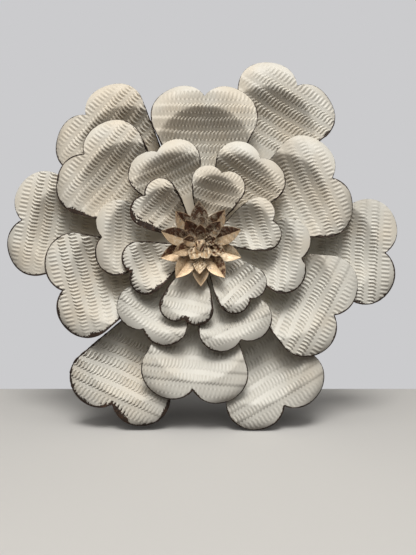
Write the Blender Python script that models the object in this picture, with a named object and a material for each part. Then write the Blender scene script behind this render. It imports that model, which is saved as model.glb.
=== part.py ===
"""Large layered metal wall flower.

Four rows of six heart-shaped petals, pressed from band-embossed sheet steel, stand round a folded
metal lotus. Each row is welded to its own round plate, and one long screw holds the plates, the
spacers and the lotus together. The flower hangs on a keyhole plate behind it.

Metres, +Z up. The front faces -Y, and "height" below means the distance in front of the wall.
"""
import math
from dataclasses import dataclass, replace

import bmesh
import bpy
from mathutils import Vector
from mathutils.geometry import delaunay_2d_cdt

# Stack along the flower's axis
SHEET = 0.0008
SEAT_GAP = 0.0003
PLATE_THICKNESS = 0.0012
OUTER_PLATE_HEIGHT = 0.0100
ROW_STEP = 0.0086
LOTUS_STANDOFF = 0.0172
STAR_STEP = 0.0042

# Petal blanks: two round lobes above a blade that narrows to its root
LARGE_LOBE_RADIUS = 0.0453
LARGE_LOBE_OFFSET = 0.0357
LARGE_LENGTH = 0.2130
SECOND_LOBE_RADIUS = 0.0336
SECOND_LOBE_OFFSET = 0.0232
SECOND_LENGTH = 0.1390
INNER_LOBE_RADIUS = 0.0239
INNER_LOBE_OFFSET = 0.0170
INNER_LENGTH = 0.1010
ROOT_HALF_WIDTH = 0.0060
WELD_LENGTH = 0.0130

# Distance of each row's roots from the flower's axis
OUTER_ROOT_RADIUS = 0.0875
THIRD_ROOT_RADIUS = 0.0271
SECOND_ROOT_RADIUS = 0.0236
INNER_ROOT_RADIUS = 0.0178

# Pressed shape: lean of the blade off the wall, then a deep cup, whose wall climbs to a round
# ridge, and a lip outside it that rolls back at the rim
OUTER_LEAN = math.radians(2.2)
THIRD_LEAN = math.radians(5.6)
SMALL_LEAN = math.radians(2.3)
LARGE_CUP_DEPTH = 0.0300
LARGE_WALL_ANGLE = math.radians(37.0)
LARGE_RIDGE_ROUND = 0.0040
LARGE_LIP_DROP = 0.0060
LARGE_LIP_CURL = 3.6
SECOND_CUP_DEPTH = 0.0360
SECOND_WALL_ANGLE = math.radians(43.5)
SECOND_RIDGE_ROUND = 0.0120
SECOND_LIP_DROP = 0.0058
INNER_CUP_DEPTH = 0.0340
INNER_WALL_ANGLE = math.radians(43.5)
INNER_RIDGE_ROUND = 0.0080
INNER_LIP_DROP = 0.0030
SMALL_LIP_CURL = 2.0

# Round ridge between cup and lip, and the lip's width out to the lobes' tips
LARGE_RIDGE_RADIUS = 0.0780
LARGE_LIP_WIDTH = 0.0305
SECOND_RIDGE_RADIUS = 0.0710
SECOND_LIP_WIDTH = 0.0144
INNER_RIDGE_RADIUS = 0.0418
INNER_LIP_WIDTH = 0.0099

# Embossed bands across the petals, down from the lobes' tips
BAND_PITCH = 0.0210
BAND_DEPTH = 0.0005
BAND_START = 0.0145
BANDED_LENGTH = 0.0980
SMALL_BAND_PITCH = 0.0165
SMALL_BAND_DEPTH = 0.0004
SECOND_BAND_START = 0.0155
INNER_BAND_START = 0.0070
SMALL_BANDED_LENGTH = 0.0700

# Fold lines along the blade, on both sides of its middle
LARGE_COLUMNS = (0.0000, 0.0400)
SECOND_COLUMNS = (0.0000, 0.0250)
INNER_COLUMNS = (0.0000, 0.0180)

# Hand-set petals of each row: angle of the blade from +X, twist of the blade, extra reach
OUTER_SETTING = (
    (58.7, -0.9, 0.000), (131.1, 5.5, -0.019), (172.7, -3.0, -0.007),
    (240.7, 4.5, -0.003), (297.1, 3.2, -0.004), (357.3, 0.0, 0.000),
)
THIRD_SETTING = (
    (26.9, -1.9, -0.0015), (88.3, 0.8, -0.0006), (142.6, -1.8, -0.0020),
    (199.0, -3.2, -0.0034), (267.4, -2.9, -0.0023), (331.9, 0.3, 0.0048),
)
SECOND_SETTING = (
    (55.0, 0.0, 0.0030), (115.3, -0.6, -0.0016), (175.6, 1.9, -0.0044),
    (235.9, 1.4, 0.0005), (293.4, -2.4, 0.0020), (352.1, -0.9, 0.0005),
)
INNER_SETTING = (
    (18.0, 0.3, 0.0019), (73.1, 1.0, -0.0020), (138.6, 0.4, -0.0006),
    (202.4, -1.0, 0.0004), (257.4, 1.2, 0.0022), (312.2, 0.6, -0.0012),
)

# Lotus leaves: reach from the axis, half width, rise of the tip, depth of the middle fold
BACK_STAR = (0.0625, 0.0135, 0.0170, 0.0064)
FRONT_STAR = (0.0625, 0.0135, 0.0230, 0.0064)
MIDDLE_STAR = (0.0425, 0.0100, 0.0220, 0.0048)
TOP_STAR = (0.0265, 0.0080, 0.0190, 0.0040)
BACK_LEAF_ANGLE = 54.0
FRONT_LEAF_ANGLE = 90.0
LEAVES_PER_STAR = 5
STAR_DISC_RADIUS = 0.0090

# Cross-sections of a leaf before its tip: share of its length, of its half width, of its rise
LEAF_SECTIONS = ((0.45, 1.00, 0.25), (0.78, 0.70, 0.66))

# Bud over the screw's head; a level is a share of its radius and a share of its height
BUD_RADIUS = 0.0085
BUD_HEIGHT = 0.0125
BUD_FLUTES = 6
BUD_LEVELS = ((1.0, 0.0), (1.0, 0.35), (0.72, 0.75), (0.30, 0.95))
BUD_VALLEY_SHARE = 0.80

# Fastening
SCREW_RADIUS = 0.0030
SCREW_CLEARANCE = 0.0003
SCREW_HEAD_RADIUS = 0.0052
SCREW_HEAD_HEIGHT = 0.0030
SCREW_CROWN_SHARE = 0.8
SCREW_END_HEIGHT = 0.0020
COLLAR_RADIUS = 0.0052
SPACER_RADIUS = 0.0080
SPACER_WALL = 0.0020
NUT_ACROSS_FLATS = 0.0100
NUT_HEIGHT = 0.0045
WASHER_RADIUS = 0.0085
WASHER_THICKNESS = 0.0010

# Keyhole hanger behind the outer plate; its back face is the wall plane, and the frame's origin
# is on that face, below the keyhole
HANGER_WIDTH = 0.0300
HANGER_PAD_LENGTH = 0.0420
HANGER_FOOT_LENGTH = 0.0100
HANGER_THICKNESS = 0.0015
HANGER_BEND = math.radians(60.0)
HANGER_RIM_MARGIN = 0.0050
ORIGIN_BELOW_PAD_MIDDLE = 0.0145
KEYHOLE_BELOW_PAD_MIDDLE = 0.0015
KEYHOLE_HEAD_RADIUS = 0.0050
KEYHOLE_SLOT_RADIUS = 0.0024
KEYHOLE_SLOT_LENGTH = 0.0110

# Fineness of the round outlines
LOBE_SEGMENTS = 8
ARC_SEGMENTS = 8
LIP_ARC_SHARES = (0.0, 0.65)
PLATE_STEPS = 24
RING_STEPS = 12
SLOT_STEPS = 6
MERGE_DISTANCE = 0.0004
SMOOTH_ANGLE = math.radians(35.0)


@dataclass(frozen=True)
class PetalForm:
    """One kind of petal: its flat heart-shaped blank, and the shape that it is pressed to."""

    lobe_radius: float
    lobe_offset: float
    length: float
    lean: float
    cup_depth: float
    wall_angle: float
    ridge_round: float
    lip_drop: float
    lip_curl: float
    lip_width: float
    ridge_radius: float
    band_pitch: float
    band_depth: float
    band_start: float
    banded_length: float
    columns: tuple

    @property
    def root(self):
        """Place of the root's end below the line through the lobes' centres."""
        return self.lobe_radius - self.length

    @property
    def taper(self):
        """Lean of the blade's sides, which run from the root's corners to touch the lobes."""
        aside = self.lobe_offset - ROOT_HALF_WIDTH
        centre_lean = math.atan2(aside, -self.root)
        return centre_lean + math.asin(self.lobe_radius / math.hypot(aside, self.root))

    @property
    def cup_centre(self):
        """Centre of the round ridge that parts the cup from the lip."""
        return self.lobe_radius - self.lip_width - self.ridge_radius

    def side(self):
        """Points (x, along) up the right side of the blank, from the root to the notch."""
        turn = math.pi - math.acos(self.lobe_offset / self.lobe_radius) + self.taper
        points = [(ROOT_HALF_WIDTH, self.root)]
        for step in range(LOBE_SEGMENTS):
            angle = turn * step / LOBE_SEGMENTS - self.taper
            x = self.lobe_offset + self.lobe_radius * math.cos(angle)
            points.append((x, self.lobe_radius * math.sin(angle)))
        notch = math.sqrt(self.lobe_radius ** 2 - self.lobe_offset ** 2)
        return [*points, (0.0, notch)]

    def holds(self, x, along):
        """Whether a point lies inside the blank, each half of which is convex."""
        side = self.side()
        for (x0, along0), (x1, along1) in zip(side, side[1:]):
            if (x1 - x0) * (along - along0) < (abs(x) - x0) * (along1 - along0):
                return False
        return along > self.root

    def arc(self, past_ridge):
        """Points across the blank on the arc at that distance outside the ridge."""
        radius = self.ridge_radius + past_ridge
        points = []
        for step in range(ARC_SEGMENTS + 1):
            angle = math.pi * step / ARC_SEGMENTS
            points.append((radius * math.cos(angle), self.cup_centre + radius * math.sin(angle)))
        return points

    def fold_lines(self):
        """Fold lines across the blade: the bands, the blade's foot and one between them."""
        line = self.lobe_radius - self.band_start
        banded_end = self.lobe_radius - self.banded_length
        lines = []
        while line > banded_end:
            lines.append(line)
            line -= self.band_pitch / 2
        return [*lines, self.root + WELD_LENGTH, (self.root + banded_end) / 2]

    def height(self, x, along):
        """Height of the pressed sheet above its welded root."""
        past_ridge = math.hypot(x, max(0.0, along - self.cup_centre)) - self.ridge_radius
        beyond = max(0.0, past_ridge)
        within = max(0.0, -past_ridge)
        run = max(0.0, along - self.root - WELD_LENGTH - beyond)
        rise = math.tan(self.lean) * (math.hypot(run, WELD_LENGTH) - WELD_LENGTH)
        wall_run = math.hypot(within, self.ridge_round) - self.ridge_round
        wall = math.tan(self.wall_angle) * wall_run / self.cup_depth
        grown = min(1.0, run / (self.cup_centre - self.root - WELD_LENGTH))
        cup = self.cup_depth * (1.0 - math.tanh(wall)) * grown ** 2
        lip = self.lip_drop * (beyond / self.lip_width) ** self.lip_curl
        from_start = self.lobe_radius - self.band_start - along
        banded_left = self.banded_length - self.band_start - from_start
        fade = min(1.0, max(0.0, banded_left / self.band_pitch))
        band = self.band_depth * fade * math.cos(2.0 * math.pi * from_start / self.band_pitch)
        return rise + cup - lip + band


@dataclass(frozen=True)
class Row:
    """One row of petals: its form, how each petal is set, and where the roots start."""

    name: str
    form: PetalForm
    setting: tuple
    root_radius: float
    plate_steps: int

    @property
    def plate_radius(self):
        """Radius of the plate that the roots are welded to."""
        return self.root_radius + WELD_LENGTH


OUTER_FORM = PetalForm(
    lobe_radius=LARGE_LOBE_RADIUS,
    lobe_offset=LARGE_LOBE_OFFSET,
    length=LARGE_LENGTH,
    lean=OUTER_LEAN,
    cup_depth=LARGE_CUP_DEPTH,
    wall_angle=LARGE_WALL_ANGLE,
    ridge_round=LARGE_RIDGE_ROUND,
    lip_drop=LARGE_LIP_DROP,
    lip_curl=LARGE_LIP_CURL,
    lip_width=LARGE_LIP_WIDTH,
    ridge_radius=LARGE_RIDGE_RADIUS,
    band_pitch=BAND_PITCH,
    band_depth=BAND_DEPTH,
    band_start=BAND_START,
    banded_length=BANDED_LENGTH,
    columns=LARGE_COLUMNS,
)
THIRD_FORM = replace(OUTER_FORM, lean=THIRD_LEAN)
SECOND_FORM = PetalForm(
    lobe_radius=SECOND_LOBE_RADIUS,
    lobe_offset=SECOND_LOBE_OFFSET,
    length=SECOND_LENGTH,
    lean=SMALL_LEAN,
    cup_depth=SECOND_CUP_DEPTH,
    wall_angle=SECOND_WALL_ANGLE,
    ridge_round=SECOND_RIDGE_ROUND,
    lip_drop=SECOND_LIP_DROP,
    lip_curl=SMALL_LIP_CURL,
    lip_width=SECOND_LIP_WIDTH,
    ridge_radius=SECOND_RIDGE_RADIUS,
    band_pitch=SMALL_BAND_PITCH,
    band_depth=SMALL_BAND_DEPTH,
    band_start=SECOND_BAND_START,
    banded_length=SMALL_BANDED_LENGTH,
    columns=SECOND_COLUMNS,
)
INNER_FORM = replace(
    SECOND_FORM,
    lobe_radius=INNER_LOBE_RADIUS,
    lobe_offset=INNER_LOBE_OFFSET,
    length=INNER_LENGTH,
    cup_depth=INNER_CUP_DEPTH,
    wall_angle=INNER_WALL_ANGLE,
    ridge_round=INNER_RIDGE_ROUND,
    lip_drop=INNER_LIP_DROP,
    lip_width=INNER_LIP_WIDTH,
    ridge_radius=INNER_RIDGE_RADIUS,
    band_start=INNER_BAND_START,
    columns=INNER_COLUMNS,
)
ROWS = (
    Row("outer", OUTER_FORM, OUTER_SETTING, OUTER_ROOT_RADIUS, PLATE_STEPS),
    Row("third", THIRD_FORM, THIRD_SETTING, THIRD_ROOT_RADIUS, RING_STEPS),
    Row("second", SECOND_FORM, SECOND_SETTING, SECOND_ROOT_RADIUS, RING_STEPS),
    Row("inner", INNER_FORM, INNER_SETTING, INNER_ROOT_RADIUS, RING_STEPS),
)


def clear_scene():
    """Remove every object, so that only the flower is left."""
    for item in list(bpy.data.objects):
        bpy.data.objects.remove(item, do_unlink=True)


def make_material(name, colour, roughness, metallic):
    """Principled material of one finish."""
    material = bpy.data.materials.new(name)
    material.use_nodes = True
    shader = material.node_tree.nodes["Principled BSDF"]
    shader.inputs["Base Color"].default_value = (*colour, 1.0)
    shader.inputs["Roughness"].default_value = roughness
    shader.inputs["Metallic"].default_value = metallic
    return material


def add_object(name, mesh, material, axis_empty):
    """Link a mesh as a named object under the flower's axis."""
    if not mesh.materials:
        mesh.materials.append(material)
    item = bpy.data.objects.new(name, mesh)
    bpy.context.collection.objects.link(item)
    item.parent = axis_empty
    return item


def add_sheet(item):
    """Give an object's open surface the thickness of the sheet, towards its front."""
    sheet = item.modifiers.new("sheet", "SOLIDIFY")
    sheet.thickness = SHEET
    sheet.offset = 1.0
    sheet.use_even_offset = True


def surface_mesh(name, bm):
    """Mesh of an open surface, cut into triangles and facing the front."""
    bmesh.ops.triangulate(bm, faces=bm.faces)
    for face in bm.faces:
        if face.normal.y > 0.0:
            face.normal_flip()
    mesh = bpy.data.meshes.new(name)
    bm.to_mesh(mesh)
    bm.free()
    return mesh


def solid_mesh(name, bm, smooth):
    """Mesh of a closed solid, facing outwards."""
    bmesh.ops.recalc_face_normals(bm, faces=bm.faces)
    mesh = bpy.data.meshes.new(name)
    bm.to_mesh(mesh)
    bm.free()
    if smooth:
        mesh.shade_smooth()
        mesh.set_sharp_from_angle(angle=SMOOTH_ANGLE)
    return mesh


def petal_mesh(name, form):
    """Pressed petal: the blank is cut into triangles along its folds and arcs, then raised."""
    side = form.side()
    outline = [*side, *((-x, along) for x, along in reversed(side[:-1]))]
    reach = form.lobe_offset + form.lobe_radius
    paths = [[*outline, outline[0]]]
    paths += [[(-reach, line), (reach, line)] for line in form.fold_lines()]
    for x in form.columns:
        paths += [[(sign * x, form.root), (sign * x, form.lobe_radius)] for sign in (-1.0, 1.0)]
    paths += [form.arc(share * form.lip_width) for share in LIP_ARC_SHARES]
    points = [Vector(point) for path in paths for point in path]
    edges = []
    start = 0
    for path in paths:
        edges += [(start + step, start + step + 1) for step in range(len(path) - 1)]
        start += len(path)
    places, _, triangles, *_ = delaunay_2d_cdt(points, edges, [], 0, MERGE_DISTANCE)
    bm = bmesh.new()
    verts = [bm.verts.new((x, -form.height(x, along), along)) for x, along in places]
    for corners in triangles:
        middle = sum((places[corner] for corner in corners), Vector((0.0, 0.0))) / 3
        if form.holds(*middle):
            bm.faces.new([verts[corner] for corner in corners])
    loose = [vert for vert in bm.verts if not vert.link_faces]
    bmesh.ops.delete(bm, geom=loose, context="VERTS")
    mesh = surface_mesh(name, bm)
    mesh.shade_smooth()
    return mesh


def add_row(row, seat_height, material, axis_empty):
    """The petals of one row, each set at its own angle, with their roots on the row's plate."""
    mesh = petal_mesh(f"{row.name}_petal", row.form)
    for number, (angle, twist, extra) in enumerate(row.setting, start=1):
        petal = add_object(f"{row.name}_petal_{number}", mesh, material, axis_empty)
        radius = row.root_radius + extra - row.form.root
        turn = math.radians(angle)
        petal.location = (radius * math.cos(turn), -seat_height, radius * math.sin(turn))
        petal.rotation_euler = (0.0, math.radians(90.0 - angle - twist), 0.0)
        add_sheet(petal)


def turned_mesh(name, profile, steps):
    """Solid turned about the flower's axis from (radius, height) points."""
    bm = bmesh.new()
    verts = [bm.verts.new((radius, -height, 0.0)) for radius, height in profile]
    edges = [bm.edges.new(pair) for pair in zip(verts, verts[1:])]
    if profile[0][0] > 0.0:
        edges.append(bm.edges.new((verts[-1], verts[0])))
    bmesh.ops.spin(bm, geom=verts + edges, cent=(0.0, 0.0, 0.0), axis=(0.0, 1.0, 0.0),
                   angle=2.0 * math.pi, steps=steps, use_merge=True, use_duplicate=False)
    bmesh.ops.remove_doubles(bm, verts=bm.verts, dist=0.000001)
    return solid_mesh(name, bm, smooth=True)


def add_ring(name, inner, outer, height, thickness, steps, material, axis_empty):
    """Flat ring, washer or tube round the axis, from height to height + thickness."""
    top = height + thickness
    profile = ((inner, height), (outer, height), (outer, top), (inner, top))
    return add_object(name, turned_mesh(name, profile, steps), material, axis_empty)


def leaf_faces(bm, base, along, across, sizes):
    """One leaf of a star, from its three base points on the disc's rim to its tip."""
    reach, half_width, rise, fold = sizes
    row = base
    for share, width, climb in LEAF_SECTIONS:
        radius = STAR_DISC_RADIUS + (reach - STAR_DISC_RADIUS) * share
        floor = along * radius + Vector((0.0, -rise * climb, 0.0))
        edge = across * half_width * width
        raised = Vector((0.0, -fold * width, 0.0))
        points = (floor - edge + raised, floor, floor + edge + raised)
        new_row = [bm.verts.new(point) for point in points]
        for left in range(2):
            bm.faces.new((row[left], row[left + 1], new_row[left + 1], new_row[left]))
        row = new_row
    tip = bm.verts.new(along * reach + Vector((0.0, -rise, 0.0)))
    bm.faces.new((row[0], row[1], tip))
    bm.faces.new((row[1], row[2], tip))


def star_mesh(name, sizes):
    """Five pointed leaves round a small disc, each with a trough folded along its middle."""
    bm = bmesh.new()
    sides = 2 * LEAVES_PER_STAR
    hole = []
    rim = []
    for side in range(sides):
        angle = math.pi * side / LEAVES_PER_STAR
        direction = Vector((math.sin(angle), 0.0, math.cos(angle)))
        hole.append(bm.verts.new(direction * (SCREW_RADIUS + SCREW_CLEARANCE)))
        rim.append(bm.verts.new(direction * STAR_DISC_RADIUS))
    for side in range(sides):
        following = (side + 1) % sides
        bm.faces.new((hole[side], hole[following], rim[following], rim[side]))
    for leaf in range(LEAVES_PER_STAR):
        angle = 2.0 * math.pi * leaf / LEAVES_PER_STAR
        along = Vector((math.sin(angle), 0.0, math.cos(angle)))
        across = Vector((math.cos(angle), 0.0, -math.sin(angle)))
        base = [rim[2 * leaf - 1], rim[2 * leaf], rim[(2 * leaf + 1) % sides]]
        leaf_faces(bm, base, along, across, sizes)
    return surface_mesh(name, bm)


def add_star(name, sizes, height, first_angle, material, axis_empty):
    """One star of the lotus, with its disc at the given height."""
    star = add_object(name, star_mesh(name, sizes), material, axis_empty)
    star.location = (0.0, -height, 0.0)
    star.rotation_euler = (0.0, math.radians(90.0 - first_angle), 0.0)
    add_sheet(star)


def bridged_rings(bm, loops):
    """Rings of points (radius, height) round the axis, joined by faces in their order."""
    rings = []
    for loop in loops:
        ring = []
        for side, (radius, height) in enumerate(loop):
            angle = 2.0 * math.pi * side / len(loop)
            point = (radius * math.sin(angle), -height, radius * math.cos(angle))
            ring.append(bm.verts.new(point))
        rings.append(ring)
    for low, high in zip(rings, rings[1:]):
        for side in range(len(low)):
            following = (side + 1) % len(low)
            bm.faces.new((low[side], low[following], high[following], high[side]))
    return rings


def bud_mesh(height):
    """Crumpled bud: a fluted dome over the screw's head, open underneath."""
    sides = 2 * BUD_FLUTES
    inner = SCREW_HEAD_RADIUS + SEAT_GAP
    ceiling = height + SCREW_HEAD_HEIGHT + 2.0 * SEAT_GAP
    loops = [[(inner, ceiling)] * sides, [(inner, height)] * sides]
    for share, climb in BUD_LEVELS:
        level = height + BUD_HEIGHT * climb
        ridge = BUD_RADIUS * share
        valley = ridge * BUD_VALLEY_SHARE
        loops.append([(ridge if side % 2 else valley, level) for side in range(sides)])
    bm = bmesh.new()
    rings = bridged_rings(bm, loops)
    bm.faces.new(rings[0])
    tip = bm.verts.new((0.0, -height - BUD_HEIGHT, 0.0))
    for side in range(sides):
        bm.faces.new((rings[-1][side], rings[-1][(side + 1) % sides], tip))
    return solid_mesh("lotus_bud", bm, smooth=False)


def nut_mesh(height):
    """Hexagon nut with a round bore."""
    flat = NUT_ACROSS_FLATS / 2
    corner = flat / math.cos(math.pi / 6)
    top = height + NUT_HEIGHT
    bore = [SCREW_RADIUS + SCREW_CLEARANCE] * RING_STEPS
    hexagon = [flat if side % 2 else corner for side in range(RING_STEPS)]
    section = ((bore, height), (hexagon, height), (hexagon, top), (bore, top), (bore, height))
    bm = bmesh.new()
    bridged_rings(bm, [[(radius, level) for radius in radii] for radii, level in section])
    bmesh.ops.remove_doubles(bm, verts=bm.verts, dist=0.000001)
    return solid_mesh("rear_nut", bm, smooth=False)


def extruded_mesh(name, outline, offset):
    """Prism from a flat outline, moved along one offset."""
    bm = bmesh.new()
    face = bm.faces.new([bm.verts.new(point) for point in outline])
    grown = bmesh.ops.extrude_face_region(bm, geom=[face])
    moved = [item for item in grown["geom"] if isinstance(item, bmesh.types.BMVert)]
    bmesh.ops.translate(bm, verts=moved, vec=offset)
    return solid_mesh(name, bm, smooth=False)


def hanger_outline(foot_height):
    """Hat section (along, height) of the hanger: two feet and a raised pad on the wall side."""
    half_pad = HANGER_PAD_LENGTH / 2
    run = foot_height / math.tan(HANGER_BEND)
    shift = HANGER_THICKNESS * math.tan(HANGER_BEND / 2)
    foot_end = half_pad + run + HANGER_FOOT_LENGTH
    foot_front = foot_height + HANGER_THICKNESS
    upper = (
        (half_pad, 0.0),
        (half_pad + run, foot_height),
        (foot_end, foot_height),
        (foot_end, foot_front),
        (half_pad + run - shift, foot_front),
        (half_pad - shift, HANGER_THICKNESS),
    )
    return [*upper, *((-along, height) for along, height in reversed(upper))]


def keyhole_outline():
    """Outline (x, along) of the keyhole: a round hole for a screw's head, with a slot above it."""
    slot_angle = math.asin(KEYHOLE_SLOT_RADIUS / KEYHOLE_HEAD_RADIUS)
    points = []
    for step in range(RING_STEPS + 1):
        angle = math.pi / 2 + slot_angle + 2.0 * (math.pi - slot_angle) * step / RING_STEPS
        points.append((KEYHOLE_HEAD_RADIUS * math.cos(angle), KEYHOLE_HEAD_RADIUS * math.sin(angle)))
    for step in range(SLOT_STEPS + 1):
        angle = math.pi * step / SLOT_STEPS
        along = KEYHOLE_SLOT_LENGTH + KEYHOLE_SLOT_RADIUS * math.sin(angle)
        points.append((KEYHOLE_SLOT_RADIUS * math.cos(angle), along))
    return points


def add_hanger(outline, pad_middle, material, axis_empty):
    """Keyhole plate on the back of the outer plate, with its pad's middle at that place."""
    section = [(-HANGER_WIDTH / 2, -height, along) for along, height in outline]
    mesh = extruded_mesh("keyhole_hanger", section, (HANGER_WIDTH, 0.0, 0.0))
    hanger = add_object("keyhole_hanger", mesh, material, axis_empty)
    hanger.location = (0.0, 0.0, pad_middle)
    hole = [(x, HANGER_THICKNESS, along) for x, along in keyhole_outline()]
    cutter_mesh = extruded_mesh("keyhole_cutter", hole, (0.0, -3.0 * HANGER_THICKNESS, 0.0))
    cutter = add_object("keyhole_cutter", cutter_mesh, material, axis_empty)
    cutter.location = (0.0, 0.0, pad_middle - KEYHOLE_BELOW_PAD_MIDDLE)
    cutter.hide_render = True
    cutter.display_type = "WIRE"
    cut = hanger.modifiers.new("keyhole", "BOOLEAN")
    cut.operation = "DIFFERENCE"
    cut.solver = "EXACT"
    cut.object = cutter


def add_rows(lotus_height, paint, primer, steel, axis_empty):
    """Plates, petals and spacers, from the outer row forwards."""
    bore = SCREW_RADIUS + SCREW_CLEARANCE
    for index, row in enumerate(ROWS):
        plate_height = OUTER_PLATE_HEIGHT + index * ROW_STEP
        add_ring(f"{row.name}_plate", bore, row.plate_radius, plate_height, PLATE_THICKNESS,
                 row.plate_steps, primer, axis_empty)
        seat_height = plate_height + PLATE_THICKNESS + SEAT_GAP
        add_row(row, seat_height, paint, axis_empty)
        next_height = plate_height + ROW_STEP if row is not ROWS[-1] else lotus_height
        add_ring(f"{row.name}_spacer", SPACER_RADIUS - SPACER_WALL, SPACER_RADIUS, seat_height,
                 next_height - SEAT_GAP - seat_height, RING_STEPS, steel, axis_empty)


def add_lotus(lotus_height, material, axis_empty):
    """The four stars and their collars; returns the height of the seat for the screw's head."""
    stars = (
        ("lotus_back_star", BACK_STAR, BACK_LEAF_ANGLE),
        ("lotus_front_star", FRONT_STAR, FRONT_LEAF_ANGLE),
        ("lotus_middle_star", MIDDLE_STAR, BACK_LEAF_ANGLE),
        ("lotus_top_star", TOP_STAR, FRONT_LEAF_ANGLE),
    )
    for index, (name, sizes, first_angle) in enumerate(stars):
        star_height = lotus_height + index * STAR_STEP
        add_star(name, sizes, star_height, first_angle, material, axis_empty)
        seat_height = star_height + SHEET + SEAT_GAP
        if index + 1 < len(stars):
            add_ring(f"lotus_collar_{index + 1}", SCREW_RADIUS + SCREW_CLEARANCE, COLLAR_RADIUS,
                     seat_height, STAR_STEP - SHEET - 2.0 * SEAT_GAP, RING_STEPS, material,
                     axis_empty)
    return seat_height


def add_fastening(head_height, material, axis_empty):
    """The long screw under the bud, and the washer and nut behind the outer plate."""
    head_top = head_height + SCREW_HEAD_HEIGHT
    profile = (
        (0.0, SCREW_END_HEIGHT),
        (SCREW_RADIUS, SCREW_END_HEIGHT),
        (SCREW_RADIUS, head_height),
        (SCREW_HEAD_RADIUS, head_height),
        (SCREW_CROWN_SHARE * SCREW_HEAD_RADIUS, head_top),
        (0.0, head_top),
    )
    screw = turned_mesh("centre_screw", profile, RING_STEPS)
    add_object("centre_screw", screw, material, axis_empty)
    washer_height = OUTER_PLATE_HEIGHT - SEAT_GAP - WASHER_THICKNESS
    add_ring("rear_washer", SCREW_RADIUS + SCREW_CLEARANCE, WASHER_RADIUS, washer_height,
             WASHER_THICKNESS, RING_STEPS, material, axis_empty)
    nut = nut_mesh(washer_height - SEAT_GAP - NUT_HEIGHT)
    add_object("rear_nut", nut, material, axis_empty)


def main():
    """Build the flower from the back to the front."""
    clear_scene()
    white_paint = make_material("distressed_white_paint", (0.78, 0.75, 0.68), 0.55, 0.0)
    brown_primer = make_material("brown_primer", (0.10, 0.07, 0.05), 0.6, 0.0)
    antique_gold = make_material("antique_gold", (0.55, 0.40, 0.24), 0.4, 0.9)
    zinc_steel = make_material("zinc_steel", (0.55, 0.55, 0.56), 0.35, 1.0)

    outline = hanger_outline(OUTER_PLATE_HEIGHT - SEAT_GAP - HANGER_THICKNESS)
    half_length = max(along for along, height in outline)
    pad_middle = ROWS[0].plate_radius - HANGER_RIM_MARGIN - half_length
    axis_empty = bpy.data.objects.new("flower_axis", None)
    bpy.context.collection.objects.link(axis_empty)
    axis_empty.location = (0.0, 0.0, ORIGIN_BELOW_PAD_MIDDLE - pad_middle)

    inner_plate_front = OUTER_PLATE_HEIGHT + (len(ROWS) - 1) * ROW_STEP + PLATE_THICKNESS
    lotus_height = inner_plate_front + LOTUS_STANDOFF
    add_hanger(outline, pad_middle, zinc_steel, axis_empty)
    add_rows(lotus_height, white_paint, brown_primer, zinc_steel, axis_empty)
    head_height = add_lotus(lotus_height, antique_gold, axis_empty)
    add_fastening(head_height, zinc_steel, axis_empty)
    add_object("lotus_bud", bud_mesh(head_height), antique_gold, axis_empty)


main()
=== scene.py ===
"""Looks of a large layered wall flower of embossed sheet metal.

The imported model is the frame: every piece made here takes the place of one of its nodes, or dresses
it. Metres, +Z up. The front faces -Y, and "height" means the distance in front of the wall.
"""
import logging
import math
from dataclasses import dataclass, replace
from enum import Enum
from typing import Callable

import bpy
import numpy as np
from mathutils import Matrix, Vector


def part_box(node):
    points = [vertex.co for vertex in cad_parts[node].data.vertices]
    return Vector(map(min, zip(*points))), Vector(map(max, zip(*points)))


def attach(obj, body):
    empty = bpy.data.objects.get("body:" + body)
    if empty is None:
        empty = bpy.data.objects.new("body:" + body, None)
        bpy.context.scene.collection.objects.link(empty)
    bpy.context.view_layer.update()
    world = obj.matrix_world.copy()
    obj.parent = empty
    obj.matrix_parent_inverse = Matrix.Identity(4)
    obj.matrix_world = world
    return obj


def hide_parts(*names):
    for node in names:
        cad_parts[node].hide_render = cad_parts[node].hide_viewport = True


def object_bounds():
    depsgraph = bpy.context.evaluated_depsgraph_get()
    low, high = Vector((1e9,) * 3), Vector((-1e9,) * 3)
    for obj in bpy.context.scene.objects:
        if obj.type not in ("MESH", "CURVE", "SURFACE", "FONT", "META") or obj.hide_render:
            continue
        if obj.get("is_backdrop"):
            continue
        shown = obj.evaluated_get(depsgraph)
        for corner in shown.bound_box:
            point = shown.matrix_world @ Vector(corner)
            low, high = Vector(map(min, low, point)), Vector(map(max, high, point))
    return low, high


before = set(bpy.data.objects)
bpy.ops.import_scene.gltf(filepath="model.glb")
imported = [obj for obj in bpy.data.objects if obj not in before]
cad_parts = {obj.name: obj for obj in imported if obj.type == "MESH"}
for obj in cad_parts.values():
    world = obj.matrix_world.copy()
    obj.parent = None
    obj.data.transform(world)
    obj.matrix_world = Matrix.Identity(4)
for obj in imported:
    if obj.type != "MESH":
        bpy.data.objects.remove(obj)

Array = np.ndarray
Piece = bpy.types.Object
Mesh = bpy.types.Mesh
Finish = bpy.types.Material
Socket = bpy.types.NodeSocket

LOGGER = logging.getLogger("wall_flower")

SHEET = 0.0008
WELD_LENGTH = 0.0130
ROOT_HALF_WIDTH = 0.0060
OUTLINE_SEGMENTS = 46

# Cuts and joins of a blank's mesh
BISECT_GAP = 0.00001
MERGE_GAP = 0.00012
MIRROR_GAP = 0.00005

# Keeps a division from running away at a petal's middle
LEAST_DISTANCE = 0.001

# Edges of sheet that are sharper than this stay sharp in the shading
RIM_ANGLE = math.radians(50.0)

# Direction from +X, in degrees, towards which the petals' paint turns creamier
WARM_SIDE = 112.0

# Crumples of a leaf that are deeper than this have sharp folds
CREASE_LIMIT = 0.0010

# Distance from the rim that stands for all places well within it
WITHIN = 0.005


class Slot(Enum):
    """Material slots of the record."""

    PAINT = "white_paint"
    GOLD = "antique_gold"


class Wear(Enum):
    """How much paint has come off a petal's rim, and how broad its dark rim line of bare edge and painted
    shadow is.
    """

    USUAL = 1.0
    HEAVY = 2.2


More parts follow.
